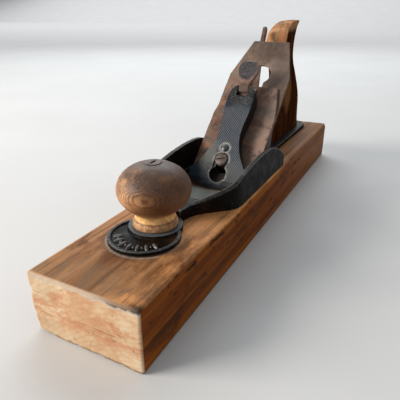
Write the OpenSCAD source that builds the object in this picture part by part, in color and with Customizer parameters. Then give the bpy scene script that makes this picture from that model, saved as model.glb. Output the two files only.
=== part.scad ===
// Wood-bottom jack plane with an iron top, a double iron and a screw depth adjuster.
// Origin on the sole at the centre of the stock, +Y from toe to heel, +Z up.

/* [Stock] */
// Length of the wooden stock
stock_l = 381; // [375:1:390]
// Width of the stock
stock_w = 70; // [70:0.5:74]
// Height of the stock
stock_h = 38; // [37.5:0.5:38.5]
// Clear gap in front of the cutting edge
mouth_gap = 6.3; // [5.5:0.1:7]

/* [Irons] */
// Width of the cutter
cutter_w = 54; // [50:0.5:54]
// Thickness of the cutter
cutter_t = 2; // [1.8:0.1:2]
// Length of the cutter along the bed
cutter_l = 189; // [180:1:192]
// Length of the cap iron along the bed
cap_iron_l = 140; // [136:1:141]

/* [Handles] */
// Widest radius of the front knob
knob_r = 21.9; // [19:0.1:22.5]
// Height of the knob above the casting
knob_h = 39; // [36:0.5:41]
// Thickness of the tote
tote_w = 21; // [18:0.5:24]

/* [Adjusters] */
// Radius of the brass depth wheel
wheel_r = 12.5; // [11:0.1:12.8]
// Lean of the lateral lever at rest, in degrees
lever_lean = 7; // [0:0.5:8]

/* [Hidden] */

$fn = 48;
eps = 0.01;
fit = 0.05;            // radial play of a pin or shaft in its hole
free = 0.3;            // gap between neighbours that pass each other

// heights and places; a name that ends in _d is a distance from the toe
casting_t = 4;
casting_z = stock_h + casting_t;
edge_d = 122.8;        // where the bed line meets the sole
disc_d = 55.6;
knob_d = 67.7;
front_screw_d = 104.5;
front_screw_x = 9.5;
rear_screw_d = 212.5;
rear_screw_x = 24.5;
tail_screw_d = 357;
tail_r = 16.3;
tail_end_d = 349;
wing_x = 33.7;
wall_t = 3.5;
disc_r = 21.5;
collar_r = 16.5;

// bed frame: u across, s up the bed, n out of the bed towards the toe
bed_a = 45;
bed_n = -cutter_t - 0.1;
frog_t = 4.9;
frog_back_n = bed_n - frog_t;
frog_half_w = 22;
frog_top_s = 137;
throat_half_w = 29;

// irons
edge_s = 1;
slot_half_w = 5.6;
cap_screw_s = 48;
keyhole_s = 155;
keyhole_r = 9.5;
iron_gap = 0.1;
cap_iron_t = 2.2;
cap_iron_n = iron_gap + cap_iron_t;
cap_screw_r = 3.9;
cap_screw_head_r = 7;
cap_screw_head_t = 3.2;

// lateral lever
lateral_s = 129;
roller_arm = 11;
roller_r = 5.2;
lateral_pin_r = 2.5;
lever_t = 2.1;
lever_n = bed_n - 0.1 - lever_t;
tab_depth = 5.8;
rest_skew = -atan(roller_arm * sin(lever_lean) / (lateral_s - roller_arm - cap_screw_s));

// depth adjuster: places in the plane of the mouth, y from the bed line at the sole
stud_a = 20;
yoke_y = 88.3;
yoke_z = 72.6;
finger_y = 71.6;
finger_z = 73.4;
yoke_arm = 17;
yoke_pin_r = 1.9;
yoke_half_w = 4.5;
stud_r = 3.5;
hub_r = 5.6;
collar_nut_r = 7.4;
groove_half = 2;
nut_y = yoke_y + yoke_arm * sin(stud_a);
nut_z = yoke_z - yoke_arm * cos(stud_a);
finger_s = (finger_y + finger_z) * cos(bed_a);
yoke_s = (yoke_y + yoke_z) * cos(bed_a);
yoke_n = (yoke_z - yoke_y) * cos(bed_a);

// lever cap
cap_bottom_s = 43.5;
cap_top_s = 131;
cap_hole_s = 54;
cap_hole_r = 6.6;
lever_screw_s = 65.5;
lever_screw_r = 3.4;
lever_head_r = 5.2;
lever_head_n = 9.3;
rivet_s = 75;
rivet_r = 2;
cam_s = 127.5;
cam_n = 12.5;
cam_pin_r = 1.6;
cam_half_w = 4;

// tote rod: top and foot of its axis
rod_top_d = 300;
rod_top_z = 148.4;
rod_foot_d = 305;
rod_a = atan((rod_foot_d - rod_top_d) / (rod_top_z - casting_z));
rod_r = 3.5;
rod_depth = 26;
rod_l = (rod_top_z - casting_z) / cos(rod_a) + rod_depth;
nut_head_r = 6;
toe_screw_d = 257;

function from_toe(d) = d - stock_l / 2;
function along(pts) = [for (p = pts) [p[0], from_toe(p[1])]];
function mirrored(pts) = concat(pts, [for (i = [len(pts) - 1 : -1 : 0]) [-pts[i][0], pts[i][1]]]);

// smooth open curve through the points, with n steps a span
function blend(a, b, c, d, t) = 0.5 * ((2 * b) + (c - a) * t + (2 * a - 5 * b + 4 * c - d) * t * t
    + (3 * b - a - 3 * c + d) * t * t * t);
function curve(p, n = 4) = concat([for (i = [0 : len(p) - 2], k = [0 : n - 1])
    blend(p[max(i - 1, 0)], p[i], p[i + 1], p[min(i + 2, len(p) - 1)], k / n)], [p[len(p) - 1]]);

// the same open line moved sideways by d, on its left
function unit(v) = v / norm(v);
function left_of(v) = [-v[1], v[0]];
function moved(p, d) = [for (i = [0 : len(p) - 1])
    p[i] + d * unit(left_of(p[min(i + 1, len(p) - 1)] - p[max(i - 1, 0)]))];

module at_toe(d, z = 0, x = 0) { translate([x, from_toe(d), z]) children(); }
module at_bed() { at_toe(edge_d) rotate([bed_a, 0, 0]) children(); }
module at_stud() {
    translate([0, from_toe(edge_d) + nut_y, nut_z]) rotate([stud_a - 90, 0, 0]) children();
}
module at_rod() { at_toe(rod_top_d, rod_top_z) rotate([180 + rod_a, 0, 0]) children(); }
module skewed() {
    at_bed() translate([0, cap_screw_s, 0]) rotate([0, 0, rest_skew])
        translate([0, -cap_screw_s, 0]) children();
}
// extrude a (y, z) outline across the plane
module across(half_w, pts) {
    rotate([90, 0, 90]) translate([0, 0, -half_w]) linear_extrude(2 * half_w) polygon(pts);
}
module rod(r, z0, z1) { translate([0, 0, z0]) cylinder(r = r, h = z1 - z0); }
// low domed screw head on z = 0, with its slot
module round_head(r, h, slot_w) {
    ball = (r * r + h * h) / (2 * h);
    difference() {
        intersection() {
            rod(r, 0, h + 1);
            translate([0, 0, h - ball]) sphere(r = ball);
        }
        translate([-r - 1, -slot_w / 2, h * 0.45]) cube([2 * r + 2, slot_w, h]);
    }
}

// ---- stock ----
throat_plan = mirrored(along([[22.6, 110.4], [27.3, 115.2], [throat_half_w, 118.7],
    [throat_half_w, 190]]));
screw_places = [[front_screw_x, front_screw_d], [-front_screw_x, front_screw_d],
    [rear_screw_x, rear_screw_d], [-rear_screw_x, rear_screw_d], [0, tail_screw_d]];
wood_screw_r = 2.2;
wood_screw_l = 22;

module throat(z0, z1, back_n) {
    lean = -back_n / cos(bed_a);
    low = -2;
    high = 50;
    front_low = 6;
    front_lean = 7.2;
    y0 = from_toe(edge_d);
    intersection() {
        across(throat_half_w + 1, [[y0 - mouth_gap, low], [y0 + low + lean, low],
            [y0 + high + lean, high], [y0 - mouth_gap - front_lean, high],
            [y0 - mouth_gap, front_low]]);
        translate([0, 0, z0]) linear_extrude(z1 - z0) polygon(throat_plan);
    }
}
module cap_screw_groove() {
    half_w = 7.8;
    at_bed() translate([-half_w, 37, bed_n - 4]) cube([2 * half_w, 22, 6]);
}
module wood_body() {
    arris = 1.2;
    half = stock_w / 2;
    side = [[half - arris, 0], [half, arris], [half, stock_h - arris], [half - arris, stock_h]];
    color("peru") difference() {
        rotate([90, 0, 0]) translate([0, 0, -stock_l / 2]) linear_extrude(stock_l)
            polygon(mirrored(side));
        throat(-1, stock_h + 1, bed_n);
        cap_screw_groove();
        at_toe(knob_d) rod(3.35, 12, stock_h + 1);
        at_toe(toe_screw_d) rod(2.45, 22, stock_h + 1);
        at_rod() rod(rod_r + fit, 0, rod_l + 1);
        for (p = screw_places) at_toe(p[1], 0, p[0])
            rod(wood_screw_r + fit, casting_z - wood_screw_l - 1, stock_h + 1);
    }
}

// ---- iron top ----
wall_line = curve([[9.4, 78], [9.6, 84], [11, 91], [13.4, 96], [18.4, 101.4], [25.4, 108],
    [30.4, 113], [33, 118], [wing_x, 124]], 3);
casting_line = concat([[9.4, 70]], wall_line, [[wing_x, 213]],
    curve([[33.2, 216.5], [29, 219], [21.5, 222.5], [17.6, 228.5], [tail_r, 238]], 3),
    [[tail_r, tail_end_d]]);
wing_top = [[70, 46.4], [96, 46.4], [101.4, 47.6], [108, 50.6], [115, 54.6], [118, 56.6],
    [124, 59], [141, 61.5], [160, 62.8], [176, 62.8], [186, 61.5], [195, 58.8], [207.5, 52.7],
    [217, 47.5]];

module wing_wall(side) {
    outer = concat(wall_line, [[wing_x, 216.5]]);
    ring = concat(outer, [for (i = [len(outer) - 1 : -1 : 0]) moved(outer, wall_t)[i]]);
    intersection() {
        scale_x = side;
        translate([0, 0, stock_h]) linear_extrude(30)
            polygon([for (p = along(ring)) [scale_x * p[0], p[1]]]);
        across(stock_w, concat([for (p = wing_top) [from_toe(p[0]), p[1]]],
            [[from_toe(217), stock_h - 1], [from_toe(70), stock_h - 1]]));
    }
}
module disc() {
    rim_w = 2.2;
    rim_t = 3;
    field_t = 1.9;
    at_toe(disc_d, stock_h) difference() {
        rod(disc_r, 0, rim_t);
        rod(disc_r - rim_w, field_t, casting_t + 1);
    }
    at_toe(knob_d) rod(collar_r, stock_h, casting_z);
}
module top_casting() {
    color("dimgray") difference() {
        union() {
            difference() {
                union() {
                    translate([0, 0, stock_h]) linear_extrude(casting_t)
                        polygon(mirrored(along(casting_line)));
                    at_toe(tail_end_d) rod(tail_r, stock_h, casting_z);
                }
                throat(stock_h - 1, casting_z + 1, frog_back_n - 0.2);
            }
            disc();
            wing_wall(1);
            wing_wall(-1);
            at_toe(86, stock_h) translate([-8, -5, 0]) cube([16, 8, 8]);
        }
        at_toe(knob_d, stock_h + casting_t) rod(collar_r - 1, 0, 20);
        at_toe(knob_d) rod(3.5, 0, 60);
        at_toe(toe_screw_d) rod(2.5, 0, 60);
        at_rod() rod(rod_r + fit, 0, 150);
        for (p = screw_places) at_toe(p[1], 0, p[0]) rod(wood_screw_r + 0.1, 0, 60);
        for (x = frog_screw_xs) translate([x, frog_screw_y, 0]) rod(frog_screw_r + fit, 0, 60);
    }
}
module casting_screws() {
    color("gray") for (p = screw_places) at_toe(p[1], casting_z, p[0]) {
        rod(wood_screw_r, -wood_screw_l, eps);
        round_head(4.2, 2.2, 1);
    }
}

// ---- knob ----
knob_ball_h = 15.9;
knob_mid_z = casting_z + knob_h - knob_ball_h;
bolt_head_r = 5;
bolt_head_z = casting_z + knob_h - 0.5;

module front_knob() {
    foot = [[13.4, 0], [13.7, 0.8], [13.4, 3], [12.5, 4.6], [11.8, 6.4], [12, 8.2]];
    ball = [for (a = [-52 : 6 : 86]) [knob_r * cos(a), knob_h - knob_ball_h + knob_ball_h * sin(a)]];
    color("sienna") at_toe(knob_d, casting_z) difference() {
        rotate_extrude($fn = 72) polygon(concat([[0, 0]], foot, ball, [[0, knob_h]]));
        rod(3.35, -1, knob_h);
        rod(bolt_head_r + fit, knob_h - 6, knob_h + 1);
    }
}
module knob_bolt() {
    slot_w = 1.2;
    color("saddlebrown") at_toe(knob_d) difference() {
        union() {
            rod(3.3, 14, bolt_head_z - 2);
            rod(bolt_head_r, casting_z + knob_h - 5.9, bolt_head_z);
        }
        translate([-slot_w / 2, -6, bolt_head_z - 1.4]) cube([slot_w, 12, 3]);
    }
}

// ---- tote ----
tote_back = [[348.8, 42], [347.6, 48], [345.9, 58.5], [344.3, 71.5], [338, 85], [327.2, 98],
    [315.2, 110.4], [308, 120], [306.3, 127], [308.8, 134], [315.3, 141.4], [323.6, 150]];
tote_front = [[322.5, 151], [310, 151], [300, 149.4], [291, 147], [283, 143], [278, 138.2],
    [275.8, 132.5], [276.6, 126], [279.8, 117], [284, 107], [287, 97], [287.3, 87], [284.6, 77.5],
    [278, 69], [269, 62], [259, 57.5], [251.5, 53], [248.7, 47.5], [248.5, 42]];

module tote() {
    outline = concat(curve(tote_back), curve(tote_front));
    color("chocolate") difference() {
        across(tote_w / 2, [for (p = outline) [from_toe(p[0]), p[1]]]);
        at_rod() rod(rod_r + 0.1, -10, 130);
        at_rod() rod(nut_head_r + 0.15, -12, 4.2);
        at_rod() rod(5.1, 0, 18);
        at_toe(toe_screw_d) rod(2.5, 0, 80);
        at_toe(toe_screw_d) rod(4.7, 53.4, 80);
    }
}
module tote_rod() {
    color("silver") at_rod() rod(rod_r, 3, rod_l);
}
module tote_nut() {
    color("goldenrod") at_rod() difference() {
        union() {
            rod(nut_head_r, 0, 4);
            rod(5, 3.9, 17);
        }
        rod(rod_r + 0.02, 2.9, 18);
        translate([-7, -0.7, -1]) cube([14, 1.4, 2.4]);
    }
}
module tote_screw() {
    color("gray") at_toe(toe_screw_d, 53.5) {
        rod(2.4, -30, eps);
        round_head(4.5, 2.6, 1.1);
    }
}

// ---- frog ----
frog_screw_xs = [-13, 13];
frog_screw_y = from_toe(edge_d) + 69;
frog_screw_r = 2.9;
frog_base_t = 5;
frog_z = casting_z + 0.05;

module frog_plate() {
    half = [[frog_half_w, 50], [frog_half_w, 112], [21.4, 120], [19, 127.5], [15, 133],
        [10, frog_top_s], [0, frog_top_s]];
    recess_w = 7.8;
    difference() {
        translate([0, 0, frog_back_n]) linear_extrude(frog_t) polygon(mirrored(half));
        translate([-recess_w, lateral_s - roller_arm - 6.3, lever_n - 0.1])
            cube([2 * recess_w, 40, 10]);
        translate([-4.2, 100.9, frog_back_n - 1]) cube([8.4, 13.1, 10]);
        translate([0, lever_screw_s, 0]) rod(lever_screw_r + fit, -20, 5);
        translate([-7.8, 50, bed_n - 3.7]) cube([15.6, 8.4, 6]);
    }
}
module frog() {
    y0 = from_toe(edge_d);
    back = -frog_back_n / cos(bed_a);
    rib_x = 18.8;
    rib_w = 3.2;
    ear_r = 4.5;
    top_z = frog_z + frog_base_t;
    rib = [[y0 + top_z + back - 2, top_z - 1], [y0 + 88, top_z - 1], [y0 + 90.5, 52],
        [y0 + 94, 70], [y0 + 97.5, 84], [y0 + 87 + back, 88]];
    color("darkslategray") difference() {
        union() {
            at_bed() frog_plate();
            // foot, with a bay for the depth wheel
            across(frog_half_w, [[y0 + frog_z + back - 1, frog_z], [y0 + 79, frog_z],
                [y0 + 79, top_z], [y0 + top_z + back - 3, top_z]]);
            for (x = [-rib_x - rib_w, rib_x]) {
                translate([x + rib_w / 2, 0, 0]) across(rib_w / 2, rib);
                translate([x, y0 + 70, frog_z]) cube([rib_w, 13.5, frog_base_t]);
            }
            // ears for the yoke pin
            for (x = [-yoke_half_w - free - 3.5, yoke_half_w + free]) at_bed()
                translate([x, yoke_s, yoke_n]) rotate([90, 0, 90]) linear_extrude(3.5) union() {
                    circle(r = ear_r);
                    translate([-ear_r, 0]) square([2 * ear_r, frog_back_n - yoke_n + 0.5]);
                }
            // boss of the stud, and the pad behind the lateral rivet
            at_stud() rod(7, -33, -9);
            at_bed() translate([0, lateral_s, frog_back_n - 2]) rod(7.5, 0, 2.5);
        }
        translate([-50, y0, 0]) cube([100, 150, stock_h + 0.3]);
        translate([-50, y0 + 53, 0]) cube([100, 100, frog_z]);
        at_stud() rod(stud_r + 0.03, -24, 0);
        at_bed() translate([-20, yoke_s, yoke_n]) rotate([0, 90, 0]) rod(yoke_pin_r + 0.03, 0, 40);
        at_bed() translate([0, lateral_s, 0]) rod(lateral_pin_r + 0.03, -20, 5);
        at_bed() translate([0, lever_screw_s, 0]) rod(lever_screw_r + fit, -20, 5);
        at_bed() translate([-50, 40, bed_n]) cube([100, 120, 40]);
        for (x = frog_screw_xs) translate([x, frog_screw_y, 0]) rod(frog_screw_r + fit, 0, 60);
    }
}
module frog_screws() {
    head_z = frog_z + frog_base_t;
    color("gray") for (x = frog_screw_xs) translate([x, frog_screw_y, head_z]) {
        rod(frog_screw_r, stock_h + 0.3 - head_z, eps);
        round_head(5, 3, 1.2);
    }
}
module adjusting_stud() {
    color("silver") at_stud() rod(stud_r, -23, 15.5);
}
module adjusting_nut() {
    color("goldenrod") at_stud() difference() {
        rotate_extrude() polygon([[stud_r + fit, -4], [collar_nut_r, -4],
            [collar_nut_r, -groove_half], [hub_r, -groove_half], [hub_r, groove_half],
            [collar_nut_r, groove_half], [collar_nut_r, 4.2], [hub_r, 4.2], [hub_r, 13],
            [stud_r + fit, 13]]);
    }
}
module adjusting_wheel() {
    bore = hub_r + fit;
    color("goldenrod") at_stud() rotate_extrude($fn = 96) polygon([[bore, 4.5],
        [wheel_r - 0.8, 4.5], [wheel_r, 5.3], [wheel_r, 12.7], [wheel_r - 0.8, 13.5],
        [wheel_r - 2.2, 13.5], [wheel_r - 3.2, 11], [8, 11], [7.2, 12.6], [bore, 12.6]]);
}
module yoke() {
    arm_x = 6.1;
    arm_w = 3.2;
    bar_0 = 5.8;
    bar_1 = 8.4;
    pad_r = 1.75;
    tip_r = 2.3;
    finger_half = 3.5;
    y0 = from_toe(edge_d);
    reach = norm([finger_y - yoke_y, finger_z - yoke_z]);
    rise = atan2(finger_z - yoke_z, yoke_y - finger_y);
    color("slategray") difference() {
        translate([0, y0 + yoke_y, yoke_z]) rotate([90, 0, 90]) {
            translate([0, 0, -yoke_half_w]) cylinder(r = 3.8, h = 2 * yoke_half_w);
            rotate([0, 0, -rise]) translate([-reach, 0, -finger_half])
                linear_extrude(2 * finger_half) {
                    translate([0, -1.7]) square([reach, 3.4]);
                    circle(r = tip_r);
                }
            rotate([0, 0, stud_a - 180]) {
                translate([-1.4, 0, -yoke_half_w + 0.2])
                    cube([2.8, bar_0 + 1, 2 * yoke_half_w - 0.4]);
                translate([-1.5, bar_0, -arm_x - arm_w])
                    cube([3, bar_1 - bar_0, 2 * (arm_x + arm_w)]);
                for (x = [-arm_x - arm_w + 0.1, arm_x]) translate([0, 0, x])
                    linear_extrude(arm_w - 0.1) {
                        translate([-0.9, bar_0 + 1]) square([1.8, yoke_arm - bar_0 - 1]);
                        translate([0, yoke_arm]) circle(r = pad_r);
                    }
            }
        }
        translate([-10, y0 + yoke_y, yoke_z]) rotate([0, 90, 0]) rod(yoke_pin_r + fit, 0, 20);
    }
}
module yoke_pin() {
    half = yoke_half_w + free + 3.5;
    color("silver") at_bed() translate([-half, yoke_s, yoke_n]) rotate([0, 90, 0])
        rod(yoke_pin_r, 0, 2 * half);
}

// ---- lateral lever ----
module at_lever() {
    at_bed() translate([0, lateral_s, 0]) rotate([0, 0, lever_lean]) children();
}
module lateral_lever() {
    strip = [[6.2, 0], [5.9, 8], [5.2, 19], [3.9, 37], [2.2, 55], [1.5, 60]];
    tip_l = 82;
    tab_n = lever_n - tab_depth + lever_t;
    color("dimgray") at_lever() difference() {
        union() {
            translate([0, 0, lever_n]) linear_extrude(lever_t) {
                polygon(mirrored(strip));
                circle(r = 6.2);
                translate([0, -roller_arm]) circle(r = 4.8);
                translate([-4.8, -roller_arm]) square([9.6, roller_arm]);
            }
            translate([-1.5, 54, tab_n]) cube([3, tip_l - 57, tab_depth]);
            translate([-1.5, tip_l - 3, tab_n + tab_depth / 2]) rotate([0, 90, 0])
                cylinder(r = tab_depth / 2, h = 3);
        }
        rod(lateral_pin_r + fit, -20, 5);
    }
}
module lateral_roller() {
    color("silver") at_lever() translate([0, -roller_arm, 0]) rod(roller_r, bed_n - 0.1, -0.3);
}
module lateral_pivot() {
    color("gray") at_bed() translate([0, lateral_s, 0]) {
        rod(lateral_pin_r, frog_back_n - 2, -cutter_t - 0.1);
        rod(4, frog_back_n - 3, frog_back_n - 2);
    }
}

// ---- irons ----
module cutter() {
    half = cutter_w / 2;
    bevel = cutter_t / tan(25);
    shoulder_s = 153;
    side = [[half, edge_s], [half, shoulder_s], [16.2, edge_s + cutter_l]];
    color("rosybrown") skewed() difference() {
        translate([0, 0, -cutter_t]) linear_extrude(cutter_t) polygon(mirrored(side));
        translate([0, cap_screw_s - 0.4, 0]) rod(slot_half_w, -5, 5);
        translate([-slot_half_w, cap_screw_s - 0.4, -5])
            cube([2 * slot_half_w, keyhole_s - cap_screw_s, 10]);
        translate([0, keyhole_s, 0]) rod(keyhole_r, -5, 5);
        // ground bevel on the back
        across(half + 1, [[edge_s, 0], [edge_s + bevel, -cutter_t], [edge_s + bevel, -5],
            [edge_s - 5, -5], [edge_s - 5, 0]]);
    }
}
module cap_iron() {
    half = cutter_w / 2;
    low = 3.2;
    top = edge_s + cap_iron_l;
    hump = curve([[low, 0.15], [5, 2], [9, 4.2], [15, 6], [22, 6.9], [29, 6.7], [35, 5.2],
        [39, 3.6], [44, 2.5], [50, cap_iron_n]], 3);
    under = curve([[50, iron_gap], [44, 0.3], [39, 1.4], [35, 3], [29, 4.5], [22, 4.7], [15, 3.9],
        [9, 2.2], [5.5, 0.9], [low + 0.8, 0.15]], 3);
    side = [[half, 0], [half, edge_s + 111], [24.6, edge_s + 124], [20.6, top]];
    color("tan") skewed() difference() {
        intersection() {
            translate([0, 0, -1]) linear_extrude(12) polygon(mirrored(side));
            across(half, concat(hump, [[top, cap_iron_n], [top, iron_gap]], under));
        }
        translate([0, cap_screw_s, 0]) rod(cap_screw_r + fit, -5, 10);
        for (s = [64, 68]) translate([0, s, 0]) rod(5.8, -5, 10);
        translate([-5.8, 64, -5]) cube([11.6, 4, 15]);
        translate([-slot_half_w, finger_s - 2.75, -5]) cube([2 * slot_half_w, 9, 15]);
    }
}
module cap_iron_screw() {
    color("gray") at_bed() translate([0, cap_screw_s, 0]) difference() {
        union() {
            rod(cap_screw_r, -cutter_t - 0.1, cap_iron_n);
            rod(cap_screw_head_r, -cutter_t - 0.05 - cap_screw_head_t, -cutter_t - 0.05);
        }
        translate([-8, -0.7, -cutter_t - cap_screw_head_t - 1]) cube([16, 1.4, 2.2]);
    }
}

// ---- lever cap ----
function cap_face(s) = 10 + (s - cap_hole_s) * 0.0947;
cap_side = curve([[14, 43.9], [20.5, 45.8], [24, 48.8], [24.6, 52], [23.2, 56.2], [19.6, 61.5],
    [14.8, 69], [11.4, 77], [9.3, 86], [9.4, 95], [10.6, 104], [11.2, 113], [11, 121],
    [9.6, 126.5], [6.4, 130]], 3);
cap_half = concat([[0, cap_bottom_s], [8, cap_bottom_s]], cap_side, [[0, cap_top_s]]);

module lever_cap() {
    wall = 2.6;
    inner = [for (p = cap_half) if (p[1] > 47 && p[1] < 122) [p[0] - wall, p[1]]];
    slot_w = cam_half_w + free;
    color("darkslategray") at_bed() difference() {
        intersection() {
            linear_extrude(30) polygon(mirrored(cap_half));
            across(40, [[43, 3.7], [46, 3.35], [132, 5.2], [132, cap_face(132)], [60, cap_face(60)],
                [54, 9.6], [49, 8.6], [45.5, 6.9], [43, 4.6]]);
        }
        intersection() {
            translate([0, 0, -1]) linear_extrude(30)
                polygon(mirrored(concat([[0, 47]], inner, [[6, 133], [0, 133]])));
            across(40, [[49, -1], [49.5, 6], [54, 7], [119, cap_face(119) - 2.8], [120.5, 7.4],
                [134, 7.4], [134, -1]]);
        }
        // keyhole, with a sunk track for the screw head
        translate([0, cap_hole_s, 0]) rod(cap_hole_r, -1, 30);
        translate([-3.9, cap_hole_s, -1]) cube([7.8, lever_screw_s - cap_hole_s, 30]);
        translate([0, lever_screw_s, 0]) rod(3.9, -1, 30);
        translate([-5.6, cap_hole_s, lever_head_n - 0.1])
            cube([11.2, lever_screw_s - cap_hole_s, 20]);
        translate([0, lever_screw_s, 0]) rod(5.6, lever_head_n - 0.1, 30);
        translate([0, rivet_s, 0]) rod(rivet_r + fit, -1, 30);
        // slot of the cam, and the bore of its pin
        translate([-slot_w, 121, -1]) cube([2 * slot_w, 20, 30]);
        translate([-20, cam_s, cam_n]) rotate([0, 90, 0]) rod(cam_pin_r + 0.03, 0, 40);
    }
}
module lever_cap_screw() {
    color("rosybrown") at_bed() translate([0, lever_screw_s, 0]) {
        rod(lever_screw_r, frog_back_n + 0.05, lever_head_n + eps);
        translate([0, 0, lever_head_n]) difference() {
            rotate_extrude() polygon([[0, 0], [lever_head_r, 0], [lever_head_r, 2.2],
                [lever_head_r - 0.8, 3], [0, 3.2]]);
            rotate([0, 0, 18]) translate([-6, -0.6, 1.9]) cube([12, 1.2, 3]);
        }
    }
}
module lever_cap_spring() {
    half_w = 5.5;
    line = [[70, 7.7], [82, 8.85], [104, 9.6], [118, 6.4], [127, 3.1], [137, 2.65]];
    back = [for (i = [len(line) - 1 : -1 : 0]) line[i] + [0, 0.8]];
    color("silver") at_bed() difference() {
        across(half_w, concat(line, back));
        translate([0, rivet_s, 0]) rod(rivet_r + fit, 0, 20);
    }
}
module spring_rivet() {
    dome_r = 3.4;
    dome_h = 1.3;
    ball = (dome_r * dome_r + dome_h * dome_h) / (2 * dome_h);
    color("silver") at_bed() translate([0, rivet_s, 0]) {
        rod(rivet_r, 7, cap_face(rivet_s) + 0.5);
        rod(3.2, 7, 7.8);
        translate([0, 0, cap_face(rivet_s) + 0.36]) intersection() {
            rod(dome_r, 0, 5);
            translate([0, 0, dome_h - ball]) sphere(r = ball);
        }
    }
}
module cam_lever() {
    heel_r = 5;
    heel_drop = 3.3;
    fan = curve([[4, 132.8], [5.4, 135.6], [7.3, 139.4], [8.5, 143.6], [8.3, 147.2], [6.2, 150.3], [3.2, 151.8],
        [0.6, 152.2]], 3);
    color("sienna") at_bed() difference() {
        union() {
            translate([0, cam_s, cam_n - heel_drop]) rotate([90, 0, 90])
                translate([0, 0, -cam_half_w]) cylinder(r = heel_r, h = 2 * cam_half_w);
            across(cam_half_w, [[124.6, 11.4], [125.4, 15.6], [129, 17.4], [134, 18], [134, 14.6],
                [131.6, 12]]);
            intersection() {
                translate([0, 0, 5]) linear_extrude(30)
                    polygon(mirrored(fan));
                across(12, [[132.8, 14.2], [133, 17.9], [143, 19.3], [150.6, 20.9], [152, 20],
                    [151.6, 18.2], [143, 16.4]]);
            }
        }
        translate([-20, cam_s, cam_n]) rotate([0, 90, 0]) rod(cam_pin_r + fit, 0, 40);
    }
}
module cam_pin() {
    half = 8.8;
    color("silver") at_bed() translate([-half, cam_s, cam_n]) rotate([0, 90, 0])
        rod(cam_pin_r, 0, 2 * half);
}

wood_body();
top_casting();
casting_screws();
front_knob();
knob_bolt();
tote();
tote_rod();
tote_nut();
tote_screw();
frog();
frog_screws();
adjusting_stud();
adjusting_nut();
adjusting_wheel();
yoke();
yoke_pin();
lateral_lever();
lateral_roller();
lateral_pivot();
cutter();
cap_iron();
cap_iron_screw();
lever_cap();
lever_cap_screw();
lever_cap_spring();
spring_rivet();
cam_lever();
cam_pin();
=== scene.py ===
"""Wood-bottom jack plane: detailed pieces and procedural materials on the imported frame."""
import bpy, bmesh, math
import numpy as np
from mathutils import Matrix, Vector


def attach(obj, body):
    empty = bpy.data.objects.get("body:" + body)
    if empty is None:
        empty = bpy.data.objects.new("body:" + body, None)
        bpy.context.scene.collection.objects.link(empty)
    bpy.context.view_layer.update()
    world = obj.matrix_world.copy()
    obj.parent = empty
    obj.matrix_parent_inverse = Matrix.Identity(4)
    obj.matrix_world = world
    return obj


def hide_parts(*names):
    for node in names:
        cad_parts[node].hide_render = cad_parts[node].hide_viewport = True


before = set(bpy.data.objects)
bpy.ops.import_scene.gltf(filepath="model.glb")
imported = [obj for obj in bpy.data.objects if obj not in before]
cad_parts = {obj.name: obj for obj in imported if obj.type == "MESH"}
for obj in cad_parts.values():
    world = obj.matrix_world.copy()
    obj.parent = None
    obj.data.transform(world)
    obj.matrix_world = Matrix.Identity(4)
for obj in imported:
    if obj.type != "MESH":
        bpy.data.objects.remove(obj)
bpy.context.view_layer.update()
MM = 0.001

# places and sizes in mm, in the row frame
STOCK_W, STOCK_L, STOCK_H = 70.0, 381.0, 38.0
TOE = -STOCK_L / 2
MOUTH_Y = TOE + 122.8  # where the bed meets the sole
DISC_Y = TOE + 55.6
DISC_R = 21.5
KNOB_Y = TOE + 67.7
CASTING_TOP = 42.0
BED_ANGLE = math.radians(45)
STUD_Y, STUD_Z = 26.414, 56.625
STUD_LEAN = math.radians(20)
THREAD_PITCH = 1.058
# chips along the toe's lower and left edges: x, height, spread, depth
CHIPS = [(-24.0, 0.0, 1.8, 1.8), (-6.0, 0.0, 1.5, 2.0), (8.0, 0.0, 2.2, 2.4), (21.5, 0.0, 1.6, 2.2),
         (-34.0, 26.5, 2.0, 1.8), (-34.0, 12.0, 1.6, 1.6)]
ROOT = "plane"


# ---------------------------------------------------------------- numbers
def hash3(a, b, c, seed):
    """Pseudo-random values from 0 to 1 for whole-number cells."""
    m = np.uint64(0xFFFFFFFF)
    v = (a * 374761393 + b * 668265263 + c * 974634777 + seed * 1274126177).astype(np.uint64) & m
    v = ((v ^ (v >> np.uint64(13))) * np.uint64(1274126177)) & m
    v = ((v ^ (v >> np.uint64(15))) * np.uint64(2246822519)) & m
    return ((v ^ (v >> np.uint64(16))) & np.uint64(0xFFFF)).astype(float) / 65535.0


def noise(p, size, seed=0, octaves=1):
    """Smooth value noise from -1 to 1; size is the cell in mm, one number or three."""
    total, gain, norm = 0.0, 1.0, 0.0
    q = p / np.array(size, float)
    for o in range(octaves):
        i = np.floor(q).astype(np.int64)
        f = q - i
        f = f * f * (3 - 2 * f)
        v = 0.0
        for dx in (0, 1):
            for dy in (0, 1):
                for dz in (0, 1):
                    w = ((f[:, 0] if dx else 1 - f[:, 0]) * (f[:, 1] if dy else 1 - f[:, 1])
                         * (f[:, 2] if dz else 1 - f[:, 2]))
                    v = v + w * hash3(i[:, 0] + dx, i[:, 1] + dy, i[:, 2] + dz, seed + 17 * o)
        total = total + gain * (2 * v - 1)
        norm += gain
        gain *= 0.55
        q = q * 2.03
    return total / norm


def step(a, b, x):
    """Smooth step from 0 at a to 1 at b."""
    t = np.clip((x - a) / (b - a), 0, 1)
    return t * t * (3 - 2 * t)


def spline(points, n=6):
    """Catmull-Rom curve through the points."""
    p = np.array(points, float)
    out = []
    for i in range(len(p) - 1):
        a, b, c, d = p[max(i - 1, 0)], p[i], p[i + 1], p[min(i + 2, len(p) - 1)]
        for t in np.arange(n) / n:
            out.append(0.5 * (2 * b + (c - a) * t + (2 * a - 5 * b + 4 * c - d) * t * t
                              + (3 * b - a - 3 * c + d) * t ** 3))
    out.append(p[-1])
    return np.array(out)


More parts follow.
